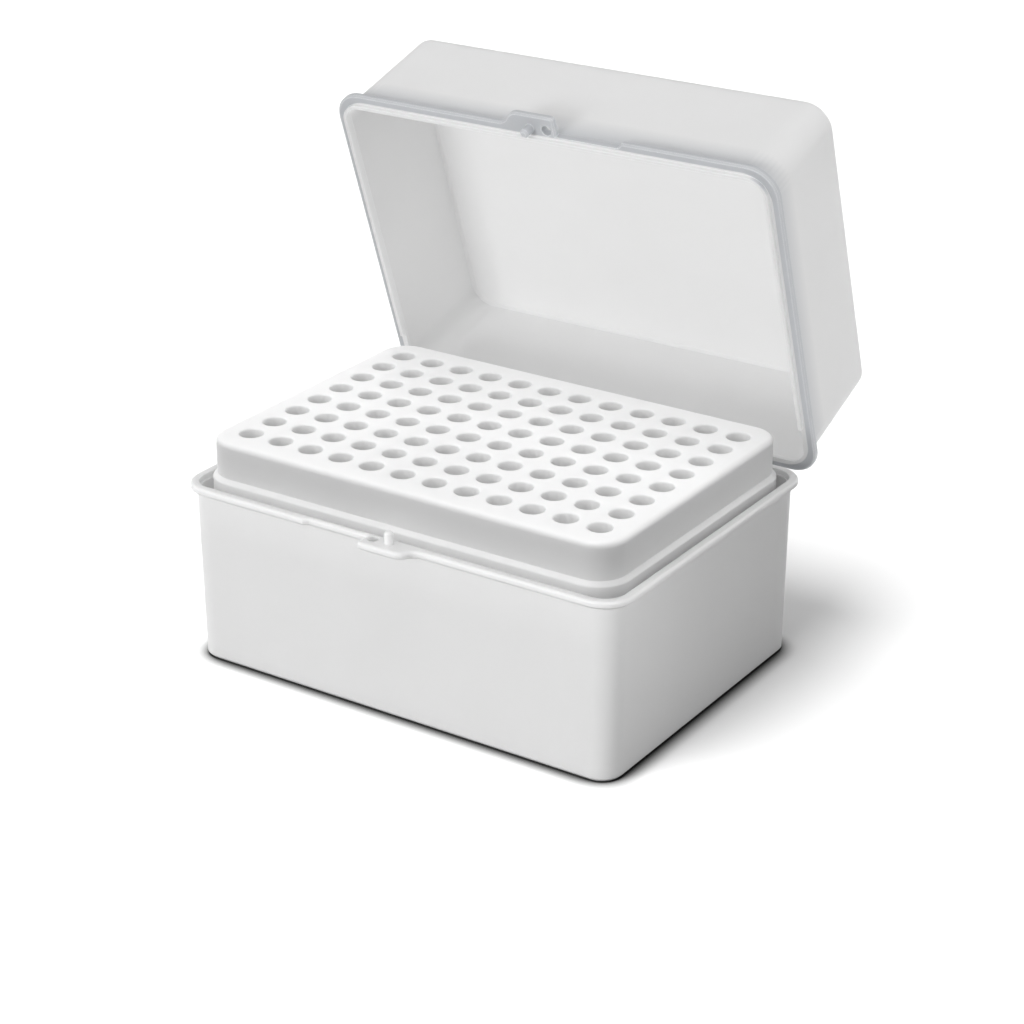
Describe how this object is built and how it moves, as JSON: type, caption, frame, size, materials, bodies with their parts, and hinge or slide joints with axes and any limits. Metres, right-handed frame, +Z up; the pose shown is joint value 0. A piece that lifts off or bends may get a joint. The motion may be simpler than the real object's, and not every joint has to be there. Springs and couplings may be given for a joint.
{
  "type": "pipette tip box",
  "caption": "Empty pipette tip box: tub base with a hinged lid standing open, a pegged front latch and a white rack with a grid of round holes.",
  "frame": {"origin": "centre of the flat foot, on the table", "axes": "+Z up, -Y to the latch, +Y to the hinge, +X along the long side"},
  "size_m": [0.1242, 0.1281, 0.1363],
  "materials": {
    "frosted_polypropylene": "frosted, slightly see-through",
    "white_polypropylene": "smooth opaque white"
  },
  "bodies": {
    "box": {"base": "frosted_polypropylene", "tip_rack": "white_polypropylene"},
    "lid": {"lid": "frosted_polypropylene"}
  },
  "joints": [
    {"name": "lid_hinge", "type": "hinge", "parent": "box", "child": "lid", "pos_m": [0, 0.04525, 0.0415], "axis": [1, 0, 0], "range_deg": [0, 70.8]}
  ]
}
